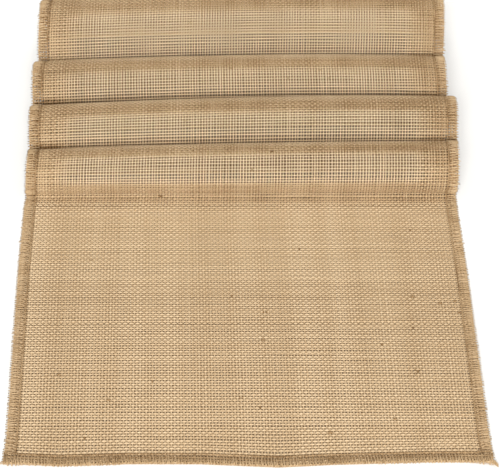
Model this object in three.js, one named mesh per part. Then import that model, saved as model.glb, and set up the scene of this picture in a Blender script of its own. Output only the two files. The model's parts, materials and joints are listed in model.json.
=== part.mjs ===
// A burlap table runner, set out as it is shown in use: the front end lies flat, then the cloth
// stands up in four hollow waves, and the rest of it lies flat behind them.
//
// The runner is one woven sheet with an overlocked seam along each edge. Here the sheet is cut into
// strips where it bends, so that each strip can be a rigid body: a strip of cloth and the two
// stretches of side seam that belong to it. Neighbouring strips turn about a line across the runner.
//
// Millimetres. X runs across the runner, Y along it towards the rear, Z up. The origin is on the
// table, under the middle of the whole runner.

import * as THREE from 'three';

const degree = Math.PI / 180;

// The sheet
const runnerWidth = 356;
const runnerLength = 1829; // as cut, measured along the cloth
const clothThick = 1.2;

// The overlocked seam: a band of thread wrapped over the cut edge
const seamWidth = 9;
const seamRise = 1; // how far the thread stands above the cloth

// How the runner is laid out
const frontLength = 280; // front edge to the foot of the first wave
const frontSkew = 8; // how far the loose weave lets the front edge slip sideways
const marginLength = 12; // the flat strip that stays down when the front end is lifted
const rearEndLength = 450; // the part behind that can hang over a table's end

// The waves, from the front. The crest arc is centred in the wave, and a valley arc of the opposite
// bend brings each flank down flat onto the table. The flank is the cloth's slope where they meet.
const waves = [
  { crestRadius: 19.5, valleyRadius: 4.2, flank: 130 * degree },
  { crestRadius: 22, valleyRadius: 10.1, flank: 116 * degree },
  { crestRadius: 22, valleyRadius: 9.5, flank: 117 * degree },
  { crestRadius: 28, valleyRadius: 13.4, flank: 117 * degree },
];

// How far one strip turns against the next: an end as it is lifted, and a wave as it spreads
const liftTurn = 90 * degree;
const spreadTurn = 56 * degree;
const clearance = 0.3;

const arcSteps = 5; // three.js makes twice as many flats of each arc
const middle = clothThick / 2; // height of the cloth's middle where it lies flat
const seamTop = middle + seamRise; // the seam's upper face, above the cloth's middle

// Half the gap that two strips need between them, so that their upper edges don't meet as they turn
const halfGap = (turn) => seamTop * Math.tan(turn / 2) + clearance / 2;
const liftGap = halfGap(liftTurn);
const spreadGap = halfGap(spreadTurn);

const clothMaterial = new THREE.MeshStandardMaterial({
  color: 0xc3a277,
  roughness: 0.95,
  metalness: 0,
});
const threadMaterial = new THREE.MeshStandardMaterial({
  color: 0xb4905f,
  roughness: 0.9,
  metalness: 0,
});

// Across the runner: the cloth between its two side seams. above is how far the upper face stands
// over the cloth's middle.
const clothEdge = runnerWidth / 2 - seamWidth - clearance;
const lanes = [
  { prefix: 'cloth', from: -clothEdge, to: clothEdge, above: middle, material: clothMaterial },
  {
    prefix: 'overlock_left',
    from: -runnerWidth / 2,
    to: -runnerWidth / 2 + seamWidth,
    above: seamTop,
    material: threadMaterial,
  },
  {
    prefix: 'overlock_right',
    from: runnerWidth / 2 - seamWidth,
    to: runnerWidth / 2,
    above: seamTop,
    material: threadMaterial,
  },
];

const runner = new THREE.Group();

function addMesh(name, geometry, material) {
  const mesh = new THREE.Mesh(geometry, material);
  mesh.name = name;
  runner.add(mesh);
  return mesh;
}

// A flat strip from one place across and along the runner to another. shiftAt gives how far the
// cloth has slipped sideways at a place along the runner.
function addFlatStrip(name, lane, yFrom, yTo, shiftAt = () => 0) {
  const plan = new THREE.Shape([
    new THREE.Vector2(lane.from + shiftAt(yFrom), yFrom),
    new THREE.Vector2(lane.to + shiftAt(yFrom), yFrom),
    new THREE.Vector2(lane.to + shiftAt(yTo), yTo),
    new THREE.Vector2(lane.from + shiftAt(yTo), yTo),
  ]);
  const geometry = new THREE.ExtrudeGeometry(plan, {
    depth: middle + lane.above,
    bevelEnabled: false,
  });
  addMesh(name, geometry, lane.material);
}

// The side view of a wave's front half, from its foot at y = 0 up to its crest: the upper face
// there and the lower face back, each a valley arc and a crest arc about the same two centres.
function halfWaveOutline(wave, above) {
  const { crestRadius, valleyRadius, flank } = wave;
  const reach = crestRadius + valleyRadius;
  const valleyZ = middle + valleyRadius;
  const crestY = reach * Math.sin(flank);
  const crestZ = valleyZ - reach * Math.cos(flank);
  const footAngle = -Math.PI / 2 + spreadGap / valleyRadius;
  const valleyEnd = flank - Math.PI / 2;
  const crestEnd = flank + Math.PI / 2;
  const topAngle = Math.PI / 2 + spreadGap / crestRadius;
  const outline = new THREE.Shape();
  outline.absarc(0, valleyZ, valleyRadius - above, footAngle, valleyEnd, false);
  outline.absarc(crestY, crestZ, crestRadius + above, crestEnd, topAngle, true);
  outline.absarc(crestY, crestZ, crestRadius - middle, topAngle, crestEnd, false);
  outline.absarc(0, valleyZ, valleyRadius + middle, valleyEnd, footAngle, true);
  return outline.getPoints(arcSteps);
}

// Turns a side view, drawn with Y across and Z up, so that it is extruded across the runner
const sideView = new THREE.Matrix4().makeBasis(
  new THREE.Vector3(0, 1, 0),
  new THREE.Vector3(0, 0, 1),
  new THREE.Vector3(1, 0, 0),
);

// side is 1 for the front half, standing on the foot at footY, and -1 for the back half
function addHalfWave(name, lane, wave, footY, side) {
  const points = halfWaveOutline(wave, lane.above).map((p) => new THREE.Vector2(side * p.x, p.y));
  const geometry = new THREE.ExtrudeGeometry(new THREE.Shape(points), {
    depth: lane.to - lane.from,
    bevelEnabled: false,
  });
  const mesh = addMesh(name, geometry, lane.material);
  mesh.quaternion.setFromRotationMatrix(sideView);
  mesh.position.set(lane.from, footY, 0);
}

const halfPitch = (wave) => (wave.crestRadius + wave.valleyRadius) * Math.sin(wave.flank);
const clothInWave = (wave) => 2 * (wave.crestRadius + wave.valleyRadius) * wave.flank;
const sum = (values) => values.reduce((total, value) => total + value, 0);

const wavesStart = frontLength;
const wavesEnd = wavesStart + sum(waves.map((wave) => 2 * halfPitch(wave)));
const rearLength = runnerLength - frontLength - sum(waves.map(clothInWave));
const rearEdge = wavesEnd + rearLength;
const liftLine = wavesStart - marginLength;
const rearLine = rearEdge - rearEndLength;
const slip = (y) => (frontSkew * Math.max(0, liftLine - y)) / liftLine;

// The end seams lie between the side seams, and the cloth starts behind them
const seamInside = seamWidth + clearance;
const endSeam = { ...lanes[1], from: -clothEdge, to: clothEdge };
addFlatStrip('overlock_front', endSeam, 0, seamWidth, slip);
addFlatStrip('overlock_rear', endSeam, rearEdge - seamWidth, rearEdge);

for (const lane of lanes) {
  const inside = lane.prefix === 'cloth' ? seamInside : 0;
  addFlatStrip(`${lane.prefix}_front_end`, lane, inside, liftLine - liftGap, slip);
  addFlatStrip(`${lane.prefix}_front_margin`, lane, liftLine + liftGap, wavesStart - spreadGap);
  let footY = wavesStart;
  waves.forEach((wave, index) => {
    const name = `${lane.prefix}_wave_${index + 1}`;
    addHalfWave(`${name}_front`, lane, wave, footY, 1);
    footY += 2 * halfPitch(wave);
    addHalfWave(`${name}_back`, lane, wave, footY, -1);
  });
  addFlatStrip(`${lane.prefix}_rear_run`, lane, wavesEnd + spreadGap, rearLine - liftGap);
  addFlatStrip(`${lane.prefix}_rear_end`, lane, rearLine + liftGap, rearEdge - inside);
}

// The runner's box, with the slipped front edge, is centred on the origin
runner.position.set(-frontSkew / 2, -rearEdge / 2, 0);

export default runner;
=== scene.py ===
import json
import math
import bpy
import numpy as np
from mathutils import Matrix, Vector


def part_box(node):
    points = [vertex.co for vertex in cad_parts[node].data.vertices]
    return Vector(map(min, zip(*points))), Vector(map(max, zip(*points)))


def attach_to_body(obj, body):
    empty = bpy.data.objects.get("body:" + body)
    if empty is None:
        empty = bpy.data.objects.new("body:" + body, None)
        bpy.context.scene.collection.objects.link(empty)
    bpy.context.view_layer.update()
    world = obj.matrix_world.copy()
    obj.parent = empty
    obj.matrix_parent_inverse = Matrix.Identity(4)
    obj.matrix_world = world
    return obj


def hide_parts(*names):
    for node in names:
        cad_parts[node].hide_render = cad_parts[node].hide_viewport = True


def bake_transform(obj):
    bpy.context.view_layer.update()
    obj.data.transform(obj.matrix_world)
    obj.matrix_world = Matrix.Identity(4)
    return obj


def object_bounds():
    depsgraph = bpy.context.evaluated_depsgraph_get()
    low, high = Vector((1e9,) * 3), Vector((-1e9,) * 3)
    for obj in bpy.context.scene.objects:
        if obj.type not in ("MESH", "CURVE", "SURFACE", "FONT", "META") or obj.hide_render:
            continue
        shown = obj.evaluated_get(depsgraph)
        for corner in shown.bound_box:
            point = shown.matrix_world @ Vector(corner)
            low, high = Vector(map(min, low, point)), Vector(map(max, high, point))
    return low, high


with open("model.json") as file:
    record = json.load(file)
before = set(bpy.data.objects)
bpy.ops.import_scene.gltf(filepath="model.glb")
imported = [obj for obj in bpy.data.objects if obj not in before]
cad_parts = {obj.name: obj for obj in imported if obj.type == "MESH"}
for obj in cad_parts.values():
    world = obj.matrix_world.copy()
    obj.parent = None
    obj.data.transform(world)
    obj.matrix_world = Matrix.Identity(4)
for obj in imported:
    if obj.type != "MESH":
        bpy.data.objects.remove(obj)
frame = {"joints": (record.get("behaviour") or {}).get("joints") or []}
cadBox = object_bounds()
mm = 0.001
draw = np.random.default_rng(14)

# Places on the runner, all from the frame. Along the cloth, distance starts at the front edge.
hinge = {joint["name"]: joint["pos_m"] for joint in frame["joints"]}
feet = ["wave_1_foot", "valley_1_2", "valley_2_3", "valley_3_4", "wave_spread"]
centreX, _, middleZ = hinge[feet[0]]
sideLow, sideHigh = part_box("overlock_left_rear_run")
halfWidth = centreX - sideLow.x
seamWidth = sideHigh.x - sideLow.x
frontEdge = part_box("overlock_left_front_end")[0].y
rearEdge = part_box("overlock_left_rear_end")[1].y
frontSkew = cadBox[1].x - centreX - halfWidth  # how far the front edge has slipped to the right
liftY = hinge["front_end_lift"][1]
rearY = hinge["rear_end_lift"][1]
frontLength = hinge[feet[0]][1] - frontEdge
liftAt = liftY - frontEdge  # the front lift line, as a distance along the cloth


# The camera: its place from the middle of the front edge, and how many degrees it looks down
cameraView = {
    "before": 876.4 * mm,
    "above": 1077.4 * mm,
    "side": 7 * mm,
    "down": 44,
    "lens": 138,
    "film": 36,
    "nearest": 0.05,
}


def addCamera():
    data = bpy.data.cameras.new("camera")
    data.lens = cameraView["lens"]
    data.sensor_width = cameraView["film"]
    data.clip_start = cameraView["nearest"]
    camera = bpy.data.objects.new("camera", data)
    bpy.context.scene.collection.objects.link(camera)
    camera.location = (centreX + cameraView["side"], frontEdge - cameraView["before"], cameraView["above"])
    camera.rotation_euler = (math.radians(90 - cameraView["down"]), 0, 0)
    bpy.context.scene.camera = camera


addCamera()


# Shader nodes: a Signal is a value in the node tree that takes part in sums, and a Finish makes the nodes
class Signal:
    def __init__(self, finish, socket):
        self.finish = finish
        self.socket = socket

    def join(self, operation, first, second=0.0):
        return self.finish.add("ShaderNodeMath", {"operation": operation}, {0: first, 1: second})

    def __add__(self, other):
        return self.join("ADD", self, other)

    def __sub__(self, other):
        return self.join("SUBTRACT", self, other)

    def __rsub__(self, other):
        return self.join("SUBTRACT", other, self)

    def __mul__(self, other):
        return self.join("MULTIPLY", self, other)

    __radd__ = __add__
    __rmul__ = __mul__

    def sine(self):
        return self.join("SINE", self)

    def size(self):
        return self.join("ABSOLUTE", self)

    def clipped(self):
        return self.finish.add("ShaderNodeClamp", {}, {"Value": self})


class Finish:
    def __init__(self, name):
        self.material = bpy.data.materials.new(name)
        self.material.use_nodes = True
        self.tree = self.material.node_tree
        self.tree.nodes.clear()

    def add(self, kind, settings, values, output=0):
        node = self.tree.nodes.new(kind)
        for name, value in settings.items():
            if name == "stops":
                for place, colour in value[len(node.color_ramp.elements):]:
                    node.color_ramp.elements.new(place)
                for stop, (place, colour) in zip(node.color_ramp.elements, value):
                    stop.position = place
                    stop.color = (*colour, 1)
            else:
                setattr(node, name, value)
        for name, value in values.items():
            if isinstance(value, Signal):
                self.tree.links.new(value.socket, node.inputs[name])
            else:
                node.inputs[name].default_value = value
        return Signal(self, node.outputs[output]) if node.outputs else None

    def mixed(self, share, first, second):
        node = self.add("ShaderNodeMix", {"data_type": "RGBA"}, {"Factor": share}, output=2)
        for place, value in ((6, first), (7, second)):
            if isinstance(value, Signal):
                self.tree.links.new(value.socket, node.socket.node.inputs[place])
            else:
                node.socket.node.inputs[place].default_value = (*value, 1)
        return node

    def finished(self, values):
        shader = self.add("ShaderNodeBsdfPrincipled", {}, values)
        self.add("ShaderNodeOutputMaterial", {}, {"Surface": shader})
        return self.material


# Jute yarn: "yarn" is a map along and around each thread, "shade" is how light the thread is there, painted
# light and shade included
clothYarn = {
    # the deepest stop is painted shade, for threads painted dark underneath inside the waves
    "deep": (0.080, 0.034, 0.008),
    "dark": (0.250, 0.145, 0.062),
    "mid": (0.520, 0.370, 0.215),
    "light": (0.785, 0.625, 0.425),
    "twist": 2.6 * mm,
    "fibre": 0.32 * mm,
    "bump": 0.45,
    "depth": 0.15 * mm,
    "stretch": 0.12,  # how long a fibre looks along the thread, against its width
    "streaks": 7.0,  # how many there are around it
    "apart": 9.0,  # keeps threads of different shades from looking alike
    "patchScale": 0.12,
    # what each one adds to how light the yarn is
    "fromShade": 0.50,
    "fromFibres": 0.55,
    "fromPatches": 0.35,
    "fromTwist": 0.07,
    "darker": 0.20,
    "smooth": 0.22,  # how much less rough the lightest fibres are
    "gloss": 0.08,
}
seamYarn = dict(clothYarn, dark=(0.190, 0.105, 0.045), mid=(0.430, 0.290, 0.155),
                light=(0.680, 0.510, 0.320), twist=1.4 * mm)


def yarnFinish(name, yarn):
    finish = Finish(name)
    place = finish.add("ShaderNodeUVMap", {"uv_map": "yarn"}, {})
    along = finish.add("ShaderNodeSeparateXYZ", {}, {0: place}, output=0)
    around = finish.add("ShaderNodeSeparateXYZ", {}, {0: place}, output=1)
    shade = finish.add("ShaderNodeAttribute", {"attribute_name": "shade"}, {}, output=2)
    lines = finish.add("ShaderNodeCombineXYZ", {}, {
        0: along * (yarn["stretch"] / yarn["fibre"]), 1: around * yarn["streaks"], 2: shade * yarn["apart"]})
    fibres = finish.add("ShaderNodeTexNoise", {}, {"Vector": lines, "Scale": 1.0, "Detail": 3.0})
    patches = finish.add("ShaderNodeTexNoise", {}, {
        "Vector": lines, "Scale": yarn["patchScale"], "Detail": 2.0})
    twist = (along * (2 * math.pi / yarn["twist"]) + around * (2 * math.pi)).sine()
    tone = (shade * yarn["fromShade"] + fibres * yarn["fromFibres"] + patches * yarn["fromPatches"]
            + twist * yarn["fromTwist"] - yarn["darker"]).clipped()
    colour = finish.add("ShaderNodeValToRGB", {"stops": [
        (0.0, yarn["deep"]), (0.2, yarn["dark"]), (0.5, yarn["mid"]), (1.0, yarn["light"])]}, {"Fac": tone})
    bump = finish.add("ShaderNodeBump", {}, {
        "Strength": yarn["bump"], "Distance": yarn["depth"], "Height": fibres * 0.6 + twist * 0.4})
    return finish.finished({"Base Color": colour, "Roughness": 1.0 - fibres * yarn["smooth"], "Normal": bump,
                            "Specular IOR Level": yarn["gloss"]})


burlap = yarnFinish("natural_jute_yarn", clothYarn)
overlockThread = yarnFinish("overlock_yarn", seamYarn)
print("finishes ready")


# The shape of the cloth. Its slope turns evenly through each bend of a wave.
def waveShape(number):
    footY = hinge[feet[number - 1]][1]
    _, crestY, crestZ = hinge[f"wave_{number}_crest"]
    flank = 2 * math.atan2(crestZ - middleZ, crestY - footY)
    reach = (crestY - footY) / math.sin(flank)
    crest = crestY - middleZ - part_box(f"cloth_wave_{number}_front")[0].y
    return {"flank": flank, "crest": crest, "valley": reach - crest, "foot": footY,
            "end": hinge[feet[number]][1]}


waves = [waveShape(number) for number in (1, 2, 3, 4)]
bends = [(0.0, 0.0), (frontLength, 0.0)]  # distance along the cloth, and its slope there
for wave in waves:
    wave["start"] = bends[-1][0]
    for radius, slope in ((wave["valley"], wave["flank"]), (2 * wave["crest"], -wave["flank"]),
                          (wave["valley"], 0.0)):
        bends.append((bends[-1][0] + radius * wave["flank"], slope))
    wave["stop"] = bends[-1][0]
clothLength = waves[-1]["stop"] + rearEdge - waves[-1]["end"]
bends.append((clothLength, 0.0))

fineStep = 0.2 * mm
distances = np.arange(0, clothLength + fineStep, fineStep)
slopes = np.interp(distances, *zip(*bends))
profileY = frontEdge + np.concatenate(([0], np.cumsum(np.cos((slopes[1:] + slopes[:-1]) / 2)))) * fineStep
profileZ = middleZ + np.concatenate(([0], np.cumsum(np.sin((slopes[1:] + slopes[:-1]) / 2)))) * fineStep

# How the loose cloth departs from the plain shape
ease = {
    # each wave is this much smaller or larger at the left, in the centre and at the right
    "loops": ((0.88, 1.0, 1.04), (0.93, 1.0, 1.0), (0.995, 1.0, 0.97), (1.0, 1.0, 1.0)),
    # how far the front end's foot and each crest have slipped sideways
    "slips": (0.0, 0.7 * mm, 1.6 * mm, -1.3 * mm, 0.0),
    "arch": 5 * mm,  # the front end stands this far off the table, here behind its edge
    "archPeak": 100 * mm,
    "archStops": 8 * mm,  # before the lift line
    "archSides": 0.25,  # how much lower it is at the side edges
    "settle": 300 * mm,  # behind the waves the cloth is back in its plain place after this
    # the wander of the front edge in millimetres, from left to right
    "edgeWander": ((-1.0, 1.6), (-0.78, -0.8), (-0.5, 1.2), (-0.2, 1.0), (0.11, -2.0), (0.33, 0.4),
                   (0.73, 2.8), (1.0, 3.4)),
    "edgeReach": 45 * mm,
    "cornerReach": 15 * mm,
    # how far each corner is pulled to the right, back and up, in millimetres
    "corners": ((-1, (-1.5, -0.5, 0.6)), (1, (0.8, -2.0, 1.4))),
    # how many millimetres each side edge is drawn in, at places along the front end and at each crest
    "narrowAt": (0.0, 60 * mm, 140 * mm, 200 * mm, 270 * mm),
    "narrows": {-1: (0.2, 0.2, -0.4, -1.0, -0.4, 2.2, 0.2, 1.5, 2.2),
                1: (3.8, 3.6, 2.4, 1.2, 1.0, 1.6, 0.2, 3.2, 2.0)},
}


def eased(part):
    part = np.clip(part, 0, 1)
    return part * part * (3 - 2 * part)


def easeWaves(y, z, side, along):
    shift = np.zeros_like(y)
    newY = y.copy()
    newZ = z.copy()
    for wave, (left, centre, right) in zip(waves, ease["loops"]):
        size = centre + (right - left) / 2 * side + ((right + left) / 2 - centre) * side * side
        here = (along >= wave["start"]) & (along <= wave["stop"])
        newY = np.where(here, wave["foot"] + shift + (y - wave["foot"]) * size, newY)
        newZ = np.where(here, middleZ + (z - middleZ) * size, newZ)
        shift = shift + (wave["end"] - wave["foot"]) * (size - 1)
    behind = along > waves[-1]["stop"]
    newY = np.where(behind, y + shift * (1 - eased((y - waves[-1]["end"]) / ease["settle"])), newY)
    return newY, newZ


def easeSides(x, side, along):
    crests = [(wave["start"] + wave["stop"]) / 2 for wave in waves]
    x = x + np.interp(along, [waves[0]["start"], *crests], ease["slips"])
    for way, narrows in ease["narrows"].items():
        drawn = np.interp(along, [*ease["narrowAt"], *crests], narrows) * mm
        fades = 1 - eased((along - waves[-1]["stop"]) / ease["settle"])
        x = x - drawn * fades * way * np.clip(side * way, 0, None)
    return x + frontSkew * np.clip(1 - along / liftAt, 0, 1)


def easeFrontEnd(x, y, z, across, along):
    side = across / halfWidth
    peak = ease["archPeak"]
    rise = np.where(along < peak, np.sin(np.clip(along / peak, 0, 1) * math.pi / 2),
                    1 - eased((along - peak) / (liftAt - ease["archStops"] - peak)))
    z = z + ease["arch"] * rise * (1 - ease["archSides"] * side * side)
    wander = np.interp(side, *zip(*ease["edgeWander"])) * mm
    y = y + wander * (1 - eased(along / ease["edgeReach"]))
    for corner, (right, back, up) in ease["corners"]:
        near = np.exp(-((along / ease["cornerReach"]) ** 2)
                      - ((across - corner * halfWidth) / ease["cornerReach"]) ** 2)
        x = x + right * mm * near
        y = y + back * mm * near
        z = z + up * mm * near
    return x, y, z


def clothPoint(across, along):
    # across is from the centreline, and along from the front edge
    side = across / halfWidth
    y = np.interp(along, distances, profileY)
    z = np.interp(along, distances, profileZ)
    y, z = easeWaves(y, z, side, along)
    x = easeSides(centreX + across, side, along)
    return np.stack(easeFrontEnd(x, y, z, across, along), -1)


def unit(vectors):
    return vectors / np.maximum(np.linalg.norm(vectors, axis=-1, keepdims=True), 1e-12)


def clothFrame(across, along):
    # a point on the cloth, and its directions across, along and up
    step = 0.4 * mm
    point = clothPoint(across, along)
    acrossWay = unit(clothPoint(across + step, along) - clothPoint(across - step, along))
    alongWay = unit(clothPoint(across, along + step) - clothPoint(across, along - step))
    upWay = unit(np.cross(acrossWay, alongWay))
    return point, acrossWay, alongWay, upWay


def smoothNoise(threads, points, step):
    # a smooth random line from -1 to 1 for each thread, with a new value every few points
    knots = draw.uniform(-1, 1, (threads, int(points / step) + 2))
    place = np.arange(points) / step
    low = place.astype(int)
    part = eased(place - low)
    return knots[:, low] * (1 - part) + knots[:, low + 1] * part


# Threads as closed tubes: an array of rings for each, all put into one mesh
def threadTubes(centre, side, up, halfWide, halfThick, along, shade, rim=0.0, under=0.0, sides=4):
    # painted shade: how much darker each thread is made at its sides, and underneath
    threads, points = centre.shape[:2]
    turn = 2 * math.pi * np.arange(sides) / sides
    wide = (halfWide[..., None, None] * -np.cos(turn)[:, None]) * side[:, :, None, :]
    thick = (halfThick[..., None, None] * np.sin(turn)[:, None]) * up[:, :, None, :]
    corners = (centre[:, :, None, :] + wide + thick).reshape(-1, 3)
    ring = np.arange(threads * points).reshape(threads, points) * sides
    this = np.arange(sides)
    after = (this + 1) % sides
    near = ring[:, :-1, None]
    far = ring[:, 1:, None]
    walls = np.stack((near + this, near + after, far + after, far + this), -1).reshape(-1, 4)
    alongNear = np.broadcast_to(along[:, :-1, None], near.shape[:2] + (sides,))
    alongFar = np.broadcast_to(along[:, 1:, None], near.shape[:2] + (sides,))
    turnNear = np.broadcast_to(this / sides, alongNear.shape)
    turnFar = turnNear + 1 / sides
    maps = np.stack((np.stack((alongNear, turnNear), -1), np.stack((alongNear, turnFar), -1),
                     np.stack((alongFar, turnFar), -1), np.stack((alongFar, turnNear), -1)), -2)
    first = ring[:, 0, None] + this[::-1]
    last = ring[:, -1, None] + this
    caps = np.concatenate((first, last))
    capMaps = np.zeros((len(caps), sides, 2))
    darker = (np.broadcast_to(rim, shade.shape)[..., None] * abs(np.cos(turn))
              + np.broadcast_to(under, shade.shape)[..., None] * np.clip(-np.sin(turn), 0, 1))
    shades = (shade[..., None] - darker).reshape(-1)
    return {"corners": corners, "walls": walls, "maps": maps.reshape(-1, 4, 2), "caps": caps,
            "capMaps": capMaps, "shades": shades}


def threadObject(name, tubes, material):
    offset = 0
    faces = []
    maps = []
    sizes = []
    for tube in tubes:
        for cells, places in ((tube["walls"], tube["maps"]), (tube["caps"], tube["capMaps"])):
            faces.append((cells + offset).reshape(-1))
            maps.append(places.reshape(-1, 2))
            sizes.append(np.full(len(cells), cells.shape[1]))
        offset += len(tube["corners"])
    corners = np.concatenate([tube["corners"] for tube in tubes])
    loops = np.concatenate(faces)
    sizes = np.concatenate(sizes)
    mesh = bpy.data.meshes.new(name)
    mesh.vertices.add(len(corners))
    mesh.vertices.foreach_set("co", corners.astype(np.float32).ravel())
    mesh.loops.add(len(loops))
    mesh.loops.foreach_set("vertex_index", loops.astype(np.int32))
    mesh.polygons.add(len(sizes))
    mesh.polygons.foreach_set("loop_start", np.concatenate(([0], np.cumsum(sizes)[:-1])).astype(np.int32))
    mesh.polygons.foreach_set("use_smooth", np.ones(len(sizes), bool))
    mesh.uv_layers.new(name="yarn").data.foreach_set("uv", np.concatenate(maps).astype(np.float32).ravel())
    shade = mesh.attributes.new("shade", "FLOAT", "POINT")
    shade.data.foreach_set("value", np.concatenate([tube["shades"] for tube in tubes]).astype(np.float32))
    mesh.update(calc_edges=True)
    mesh.materials.append(material)
    thing = bpy.data.objects.new(name, mesh)
    bpy.context.scene.collection.objects.link(thing)
    return thing


# The plain weave: warp threads run along the runner, and weft threads across it
weave = {
    "warps": 152,
    "rowPitch": 2.5 * mm,
    "warpWidth": (1.36 * mm, 0.98 * mm),  # where the cloth lies close, and where a bend opens it
    "weftWidth": (1.86 * mm, 0.94 * mm),
    "opens": (4, 24),  # degrees of slope over which a bend opens the cloth
    "closes": (76, 108),  # and where it closes again low down, on the first wave and the others
    "closesOver": 22,
    "sideCloses": (12 * mm, 45 * mm),  # the cloth stays close this near to its side edges
    "backOpens": 0.4,  # how much less the back of a wave opens
    "thickness": 0.80 * mm,
    "warpCrimp": 0.32 * mm,
    "weftCrimp": 0.48 * mm,
    "lift": 0.30 * mm,  # round threads stand a little higher than the plain cloth
    "slub": 0.16,  # how much a thread's width varies along it
    "slubEvery": 6,  # threads
    "uneven": 0.06,  # and from thread to thread
    "widest": (0.6, 1.25),  # the narrowest and widest share of its width
    "wander": 0.18 * mm,
    "wanderEvery": 16,
    "astray": 0.8,  # the share of the wander by which a whole thread is out of place
    "startsOpen": 9 * mm,  # below this height the cloth isn't fully open
    "arched": 12 * mm,  # above this height it counts as part of a wave
    # how much the shade varies: from thread to thread, along a thread, and in stripes of a few threads
    "warpVaries": (0.05, 0.08, 0.09),
    "weftVaries": (0.03, 0.08, 0.03),
    "variesEvery": (30, 5),
    "underSeam": 0.40,  # painted shadow: how much darker the cloth is where the seam covers it
    "warpTone": (-0.02, -0.24),  # painted highlight and shade: how a thread's shade changes where it lies on top, and underneath
    "weftTone": (0.08, -0.24),
    "openTone": 0.25,  # the share of that change which is left where the cloth opens
    "calm": 0.6,  # how much less that change is at the front edge
    "calmReach": 240 * mm,
    "faceTone": (0.64, 0.66),  # painted light: how much lighter warp and weft are on a wave's open face
    "crestTone": 0.20,  # painted shade: how much darker the close cloth is along a crest
    "crestSlope": (58, 40),  # a crest ends at this many degrees of slope, and fades over this many
    "flatTone": 0.21,  # painted light: how much lighter the flat cloth is
    # painted shade in the valleys: how much darker it is down by each foot, and how far before and behind
    # the foot it is so
    "footTones": ((0.25, -1 * mm, 7 * mm), (0.8, -26 * mm, 29 * mm), (0.8, -26 * mm, 29 * mm),
                  (0.8, -26 * mm, 29 * mm), (0.2, -2 * mm, 2 * mm)),
    "footFade": (4 * mm, 10 * mm),
    "rim": (0.02, 0.20),  # painted shade: how much darker a thread is at its sides, close and open
    "weftRim": 0.6,  # the share of that painted shade for a weft thread
    "under": 3.0,  # and painted shade underneath, inside the waves
    "flecks": 110,  # dark bits of stalk in the yarn
    "fleckTone": 0.85,
    "edge": 1.2 * mm,  # how far the last threads lie inside the edges
    "mostRows": 78,  # in one piece
}
rows = round((clothLength - 2 * weave["edge"]) / weave["rowPitch"]) + 1
columnAt = np.linspace(-halfWidth + weave["edge"], halfWidth - weave["edge"], weave["warps"])
rowAt = np.linspace(weave["edge"], clothLength - weave["edge"], rows)


# painted highlight and shade at the crossings: lighter where a thread lies on top, darker where it dips
# underneath
def paintedCrossingShade(name, onTop, steep, along):
    top, under = weave[name]
    calm = 1 - weave["calm"] * (1 - eased(along / weave["calmReach"]))
    return np.where(onTop, top, under) * (1 - (1 - weave["openTone"]) * steep) * calm


def openShare(across, along, slope, height):
    # how far the cloth is opened, from 0 where it lies close to 1
    low, high = weave["opens"]
    closes = np.where(along < waves[0]["stop"], *weave["closes"])
    steep = eased((abs(slope) - low) / (high - low))
    steep = steep * (1 - eased((abs(slope) - closes) / weave["closesOver"]))
    steep = steep * eased(height / weave["startsOpen"])
    steep = steep * np.where(slope < 0, weave["backOpens"], 1.0)
    nearest, furthest = weave["sideCloses"]
    return steep * eased((halfWidth - abs(across) - nearest) / (furthest - nearest))


def paintedPlaceLightAndShade(across, along, slope, arched, steep):
    # painted light and shade on both threads, by where they are on the runner: lighter on the flat, and
    # darker along the crests, by each foot and under the seams
    # painted shadow where the seam covers the cloth
    seamShadowMask = np.maximum(abs(across) > halfWidth - seamWidth,
                         (along < seamWidth) | (along > clothLength - seamWidth)) * weave["underSeam"]
    stop, fadesOver = weave["crestSlope"]
    # painted shade along the crests
    crest = arched * eased((stop - abs(slope)) / fadesOver) * (1 - steep)
    paintedLightAndShade = -weave["crestTone"] * crest + weave["flatTone"] * (1 - arched) - seamShadowMask
    # painted shade down by each foot, in the valleys
    stays = [waves[0]["start"], *[wave["stop"] for wave in waves]]
    for stay, (darker, before, behind) in zip(stays, weave["footTones"]):
        fade = np.where(along < stay, *weave["footFade"])
        beyond = np.maximum(stay + before - along, along - stay - behind)
        paintedLightAndShade = paintedLightAndShade - darker * (1 - eased(beyond / fade))
    return paintedLightAndShade


def threadShades(threads, points, varies):
    fromThread, alongIt, stripes = varies
    longStep, shortStep = weave["variesEvery"]
    shade = 0.5 + fromThread * draw.normal(0, 1, (threads, 1))
    shade = shade + alongIt * smoothNoise(threads, points, longStep)
    return shade + stripes * smoothNoise(1, threads, shortStep).T


def between(pair, share):
    close, opened = pair
    return close + (opened - close) * share


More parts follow.
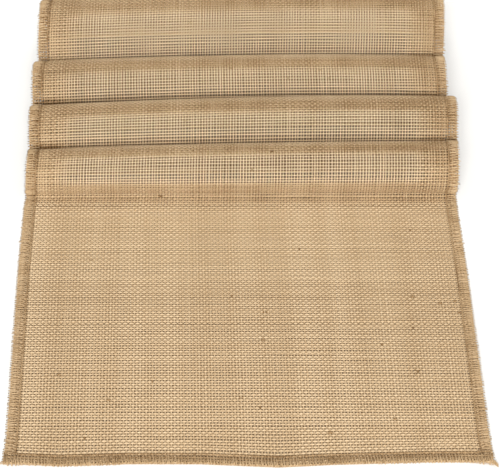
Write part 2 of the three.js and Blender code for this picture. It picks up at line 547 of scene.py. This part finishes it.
def weaveGrid():
    warps = weave["warps"]
    wander, astray, every = weave["wander"], weave["astray"], weave["wanderEvery"]
    across = columnAt[:, None] + wander * (
        smoothNoise(warps, rows, every) + astray * draw.uniform(-1, 1, (warps, 1)))
    along = rowAt[None, :] + wander * (
        smoothNoise(rows, warps, every).T + astray * draw.uniform(-1, 1, (1, rows)))
    point, acrossWay, alongWay, upWay = clothFrame(across, along)
    over = np.where((np.arange(warps)[:, None] + np.arange(rows)[None, :]) % 2, 1.0, -1.0)
    slub, uneven, every = weave["slub"], weave["uneven"], weave["slubEvery"]
    warpSize = 1 + slub * smoothNoise(warps, rows, every) + uneven * draw.normal(0, 1, (warps, 1))
    weftSize = 1 + slub * smoothNoise(rows, warps, every) + uneven * draw.normal(0, 1, (rows, 1))
    slope = np.degrees(np.interp(along, distances, slopes))
    height = np.interp(along, distances, profileZ) - middleZ
    arched = eased(height / weave["arched"])
    steep = openShare(across, along, slope, height)
    warpShade = threadShades(warps, rows, weave["warpVaries"])
    weftShade = threadShades(rows, warps, weave["weftVaries"])
    paintedLightAndShade = paintedPlaceLightAndShade(across, along, slope, arched, steep)
    warpShade = warpShade + paintedLightAndShade
    weftShade = weftShade.T + paintedLightAndShade
    for shade in (warpShade, weftShade):
        fleck = draw.integers(0, (warps, rows), (weave["flecks"], 2)).T
        shade[fleck[0], fleck[1]] -= weave["fleckTone"]
    # painted light: the threads on a wave's open face are made lighter
    warpPaintedFaceLight, weftPaintedFaceLight = weave["faceTone"]
    return {"across": across, "along": along, "point": point + upWay * weave["lift"],
            "acrossWay": acrossWay, "alongWay": alongWay, "upWay": upWay, "over": over,
            "warpWidth": np.clip(warpSize, *weave["widest"]) * between(weave["warpWidth"], steep),
            "weftWidth": np.clip(weftSize, *weave["widest"]).T * between(weave["weftWidth"], steep),
            "warpShade": warpShade + warpPaintedFaceLight * steep + paintedCrossingShade("warpTone", over > 0, steep, along),
            "weftShade": weftShade + weftPaintedFaceLight * steep + paintedCrossingShade("weftTone", over < 0, steep, along),
            "rim": between(weave["rim"], steep),
            "under": weave["under"] * arched}


grid = weaveGrid()


def clothStrip(name, firstRow, lastRow):
    warpRise = grid["upWay"] * (weave["warpCrimp"] * grid["over"])[..., None]
    weftRise = grid["upWay"] * (-weave["weftCrimp"] * grid["over"])[..., None]
    cut = (slice(None), slice(firstRow, lastRow + 1))
    warp = threadTubes((grid["point"] + warpRise)[cut], grid["acrossWay"][cut], grid["upWay"][cut],
                       grid["warpWidth"][cut] / 2, np.full_like(grid["over"][cut], weave["thickness"] / 2),
                       grid["along"][cut], grid["warpShade"][cut], grid["rim"][cut], grid["under"][cut])
    end = lastRow + 1 if lastRow == rows - 1 else lastRow
    cut = (slice(None), slice(firstRow, end))
    flip = [np.swapaxes(field[cut], 0, 1) for field in (
        grid["point"] + weftRise, -grid["alongWay"], grid["upWay"], grid["weftWidth"] / 2,
        np.full_like(grid["over"], weave["thickness"] / 2), grid["across"], grid["weftShade"],
        grid["rim"] * weave["weftRim"], grid["under"])]
    weft = threadTubes(*flip)
    return threadObject(name, [warp, weft], burlap)


def rowNear(distance):
    return int(np.argmin(abs(rowAt - distance)))


# The strips between the places where the cloth is rigid, each with the two bodies that it bends between
joins = {
    "liftHalf": 6 * mm,  # how far the cloth bends on each side of a lift line
    "rearHalf": 15 * mm,
    "lastBend": 14 * mm,  # how far behind the last wave it still bends
    "runStart": 20 * mm,  # and where the next strip starts
}


def neck(number, side):
    wave = waves[number - 1]
    bend = wave["valley"] * math.pi / 2
    return wave["start"] + bend if side == "front" else wave["stop"] - bend


# the two bodies of each strip, and where along the cloth it starts
strips = [("front_end", "front_margin", 0.0),
          ("front_margin", "wave_1_front", liftAt + joins["liftHalf"])]
for number in (1, 2, 3, 4):
    behind = f"wave_{number + 1}_front" if number < 4 else "rear_run"
    strips.append((f"wave_{number}_front", f"wave_{number}_back", neck(number, "front")))
    strips.append((f"wave_{number}_back", behind, neck(number, "back")))
strips.append(("rear_run", "rear_end", waves[-1]["stop"] + joins["runStart"]))


def blendPlaces(first, second, firstRow, lastRow):
    # where the strip begins and stops to bend, as places along the table
    low = grid["point"][:, firstRow, 1].max()
    high = grid["point"][:, lastRow, 1].min()
    if first == "front_end":
        low, high = liftY - joins["liftHalf"], min(liftY + joins["liftHalf"], high)
    if second == "rear_end":
        low, high = rearY - joins["rearHalf"], rearY + joins["rearHalf"]
    if second == "rear_run":
        high = waves[-1]["end"] + joins["lastBend"]
    return low, high


def attach(piece, first, second, low, high):
    # rides with a body where a straight piece is all on one side of the bend, and otherwise stays where it
    # is
    corners = np.empty(len(piece.data.vertices) * 3, np.float32)
    piece.data.vertices.foreach_get("co", corners)
    ys = corners[1::3]
    straight = not (first.startswith("wave") or second.startswith("wave"))
    if straight and ys.max() <= low:
        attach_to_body(piece, first)
    elif straight and ys.min() >= high:
        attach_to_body(piece, second)
    else:
        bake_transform(piece)


print("weave has", weave["warps"], "warps and", rows, "rows")

# The overlocked seam: two looper threads wound over the cut edge, and two needle threads along it
seam = {
    "stitch": 2.3 * mm,
    "bands": (8.6 * mm, 5.4 * mm),  # how far in each looper thread reaches
    "thread": 0.38 * mm,
    "topRise": 1.05 * mm,
    "crossRise": 0.12 * mm,  # how much higher the looper thread lies that crosses the other
    "underRise": -0.22 * mm,
    "needleAt": (5.4 * mm, 8.5 * mm),
    "needleRise": 1.25 * mm,
    "needleDip": 0.75 * mm,
    "fray": 0.40 * mm,  # how unevenly the loops stand out over the edge
    "sideTone": 0.80,  # how light the seams are along the sides and at the ends
    "endTone": 0.62,
    "endInset": 0.5 * mm,
    "needleTone": -0.45,  # painted shade: the needle threads lie deeper, and are painted darker
    "uneven": 0.20,
    "cornerRise": 1.0 * mm,  # how much higher an end seam lies where it crosses a side seam
    "cornerAt": (13 * mm, 5 * mm),  # how far inside the side edge that starts, and what it takes
    # the ends of thread at the two front corners: how many, and how far they reach out and forward
    "tails": ((-1, 2, 2.4 * mm, 0.6 * mm), (1, 7, 2.6 * mm, 2.8 * mm)),
    "tailRings": 7,
    "tailRoots": (4 * mm, 3 * mm),  # how far inside the side and front edges they come out
    "tailSpread": 2 * mm,
    "tailTone": 0.66,
}


def seamThreads(spot, start, stop, tone, lift=None):
    # spot turns a distance in from the edge and one along the seam into places on the cloth
    stitches = round((stop - start) / seam["stitch"])
    pitch = (stop - start) / stitches
    # one turn of a looper thread: in from the edge, height, and share of the pitch
    made = []
    for way, band in zip((1, -1), seam["bands"]):
        turn = ((band, 0.3, 0.00), (band * 0.72, 1.0, 0.10), (band * 0.35, 1.0, 0.25),
                (0.5 * mm, 0.85, 0.42), (-0.35 * mm * way, 0.42, 0.50), (0.5 * mm, 0.02, 0.58),
                (band * 0.5, 0.0, 0.75), (band * 0.95, 0.05, 0.92))
        count = stitches * len(turn)
        inward, height, share = np.tile(np.array(turn).T, stitches)
        number = np.repeat(np.arange(stitches), len(turn))
        if way < 0:
            share = np.where(share > 0.5, share - 0.9, 0.1 - share)
        loose = np.repeat(draw.normal(0, 1, stitches), len(turn))
        inward = inward * (1 + 0.05 * loose) + np.where(inward < 0.3 * mm, -seam["fray"] * abs(loose), 0)
        distance = start + (number + 0.5) * pitch + (share - 0.3) * pitch + 0.12 * pitch * loose
        distance = np.clip(distance, start, stop)
        top = seam["topRise"] + (seam["crossRise"] if way > 0 else 0)
        rise = seam["underRise"] + (top - seam["underRise"]) * height
        wide = seam["thread"] * (1 + seam["uneven"] * smoothNoise(1, count, 5)[0])
        made.append((inward, distance, rise, wide, tone))
    for needleAt in seam["needleAt"]:
        count = stitches * 4
        part = np.arange(count) % 4 / 4
        distance = start + (np.arange(count) + 0.5) / count * (stop - start)
        rise = seam["needleRise"] - seam["needleDip"] * (0.5 + 0.5 * np.cos(2 * math.pi * part)) ** 2
        inward = needleAt + 0.15 * mm * smoothNoise(1, count, 9)[0]
        wide = seam["thread"] * 1.05 * (1 + seam["uneven"] * smoothNoise(1, count, 4)[0])
        made.append((inward, distance, rise, wide, tone + seam["needleTone"]))
    tubes = []
    for inward, distance, rise, wide, level in made:
        count = len(inward)
        across, along = spot(inward, distance)
        point, _, _, upWay = clothFrame(across, along)
        if lift is not None:
            rise = rise + lift(distance)
        centre = point + upWay * rise[:, None]
        forward = unit(np.gradient(centre, axis=0))
        reference = np.where(abs((forward * upWay).sum(-1, keepdims=True)) > 0.9,
                             np.roll(upWay, 1, axis=-1), upWay)
        side = unit(np.cross(forward, reference))
        up = unit(np.cross(side, forward))
        length = np.concatenate(([0], np.cumsum(np.linalg.norm(np.diff(centre, axis=0), axis=-1))))
        shade = level + 0.25 * smoothNoise(1, count, 40)[0] + 0.2 * smoothNoise(1, count, 7)[0]
        tubes.append(threadTubes(centre[None], side[None], up[None], wide[None], wide[None] * 0.85,
                                 length[None], shade[None]))
    return tubes


def sideSpot(side):
    return lambda inward, distance: (side * (halfWidth - inward), distance)


cutRows = [0, *[rowNear(start) for _, _, start in strips[1:]], rows - 1]


def makeStrip(place):
    first, second, _ = strips[place]
    firstRow, lastRow = cutRows[place], cutRows[place + 1]
    low, high = blendPlaces(first, second, firstRow, lastRow)
    atRear = place == len(strips) - 1
    begins = 0.0 if place == 0 else rowAt[firstRow]
    ends = clothLength if atRear else rowAt[lastRow]
    bodies = [first, second] if atRear else [first]  # whose plain solids it replaces
    seams = []
    for side, sideName in ((-1, "left"), (1, "right")):
        tubes = seamThreads(sideSpot(side), begins, ends, seam["sideTone"])
        piece = threadObject(f"overlock_{sideName}_{first}_to_{second}", tubes, overlockThread)
        attach(piece, first, second, low, high)
        seams.append(piece)
        for body in bodies:
            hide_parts(f"overlock_{sideName}_{body}")
    parts = math.ceil((lastRow - firstRow) / weave["mostRows"])
    marks = [firstRow + round(step * (lastRow - firstRow) / parts) for step in range(parts + 1)]
    for part, (rowA, rowB) in enumerate(zip(marks, marks[1:])):
        piece = clothStrip(f"cloth_{first}_to_{second}_{part + 1}", rowA, rowB)
        attach(piece, first, second, low, high)
        if part == 0:
            for body in bodies:
                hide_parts(f"cloth_{body}")
        seams if part == 0 else []


for place in range(len(strips)):
    makeStrip(place)
print("cloth and side seams made")


def endSpot(edge, way):
    return lambda inward, distance: (distance, edge + way * inward)


def cornerLift(distance):
    start, length = seam["cornerAt"]
    return seam["cornerRise"] * eased((abs(distance) - halfWidth + start) / length)


def cornerTails():
    tubes = []
    count = seam["tailRings"]
    part = np.linspace(0, 1, count)
    fromSide, fromFront = seam["tailRoots"]
    for side, threads, out, forward in seam["tails"]:
        for place in range(threads):
            spread = (place - (threads - 1) / 2) / max(1, threads - 1)
            fan = seam["tailSpread"] * spread
            bend = draw.normal(0, 0.25, 2)
            reach = out * part * (1 + 0.2 * bend[0])
            across = side * (halfWidth - (fromSide - fan) * (1 - part) + reach)
            along = (fromFront + fan) * (1 - part) - forward * part * (1 - spread + 0.2 * bend[1])
            point = clothPoint(across, np.maximum(along, 0))
            point[:, 1] += np.minimum(along, 0)
            point[:, 2] += seam["topRise"] * (1 - part * part)
            point[:, 2] = np.maximum(point[:, 2], seam["thread"])
            forwardWay = unit(np.gradient(point, axis=0))
            sideWay = unit(np.cross(forwardWay, (0, 0, 1)))
            wide = seam["thread"] * (1 - 0.4 * part ** 3)
            shade = np.full((1, count), seam["tailTone"] + 0.2 * bend[0])
            tubes.append(threadTubes(point[None], sideWay[None], unit(np.cross(sideWay, forwardWay))[None],
                                     wide[None], wide[None], part[None] * out * 2, shade, sides=6))
    return tubes


def makeEndSeam(name, edge, way, extra=None):
    reach = halfWidth - seam["endInset"]
    tubes = seamThreads(endSpot(edge, way), -reach, reach, seam["endTone"], cornerLift)
    if extra:
        tubes = tubes + extra()
    piece = threadObject(f"overlock_{name}_edge", tubes, overlockThread)
    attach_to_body(piece, f"{name}_end")
    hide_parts(f"overlock_{name}")


makeEndSeam("front", 0.0, 1, cornerTails)
makeEndSeam("rear", clothLength, -1)
print("end seams made")

# The table that it lies on, and the light
studio = {
    "floor": (0.90, 0.90, 0.89),
    "floorUnder": (0.64, 0.48, 0.31),  # painted shade on the floor under the flat cloth
    "floorInside": (0.045, 0.020, 0.006),  # painted shadow on the floor inside the waves, where the jute lets little light through
    "hushFade": 22 * mm,  # how gently that begins and ends, along the runner and at its sides
    "sideFade": 6 * mm,
    "hush": (0.22, 0.45),  # how open a place is where the painted floor shade turns from dark to light
    "hushReach": 35 * mm,  # how far around it the place is open or not
    "floorSize": 60,
    "sky": 0.55,
    "skyColour": (1.0, 0.97, 0.92),
    "key": 4.0,
    "keyWidth": 30,
    "keyHeight": 36,  # degrees above the table
    "keyTurn": 3,  # degrees to the left of the front
}


def addStage():
    half = studio["floorSize"] / 2
    mesh = bpy.data.meshes.new("floor")
    corners = [(-half, -half, 0), (half, -half, 0), (half, half, 0), (-half, half, 0)]
    mesh.from_pydata(corners, [], [(0, 1, 2, 3)])
    floor = bpy.data.objects.new("floor", mesh)
    bpy.context.scene.collection.objects.link(floor)
    finish = Finish("white_table")
    place = finish.add("ShaderNodeTexCoord", {}, {}, output=3)
    x = finish.add("ShaderNodeSeparateXYZ", {}, {0: place}, output=0)
    y = finish.add("ShaderNodeSeparateXYZ", {}, {0: place}, output=1)
    each = 1 / studio["hushFade"]
    # painted shadow on the floor inside the waves: this mask covers the floor under them
    paintedShadowMask = ((halfWidth - (x - centreX).size()) * (1 / studio["sideFade"])).clipped()
    behind = waves[-1]["end"] + 2 * studio["hushFade"]
    paintedShadowMask = paintedShadowMask * ((y - liftY) * (2 * each)).clipped() * ((behind - y) * each).clipped()
    # painted shade on the floor: darker where ambient occlusion finds it covered by the cloth
    clear = finish.add("ShaderNodeAmbientOcclusion", {"samples": 8}, {"Distance": studio["hushReach"]},
                       output=1)
    dim, bright = studio["hush"]
    clear = ((clear - dim) * (1 / (bright - dim))).clipped()
    colour = finish.mixed(paintedShadowMask, finish.mixed(clear, studio["floorUnder"], studio["floor"]),
                          studio["floorInside"])
    mesh.materials.append(finish.finished({"Base Color": colour, "Roughness": 0.8}))
    sun = bpy.data.lights.new("key", "SUN")
    sun.energy = studio["key"]
    sun.angle = math.radians(studio["keyWidth"])
    light = bpy.data.objects.new("key", sun)
    light.rotation_euler = (math.radians(90 - studio["keyHeight"]), 0, math.radians(-studio["keyTurn"]))
    bpy.context.scene.collection.objects.link(light)
    world = bpy.data.worlds.new("studio")
    world.use_nodes = True
    world.node_tree.nodes["Background"].inputs["Color"].default_value = (*studio["skyColour"], 1)
    world.node_tree.nodes["Background"].inputs["Strength"].default_value = studio["sky"]
    bpy.context.scene.world = world
    bpy.context.scene.view_settings.view_transform = "Standard"


addStage()
print("scene ready")
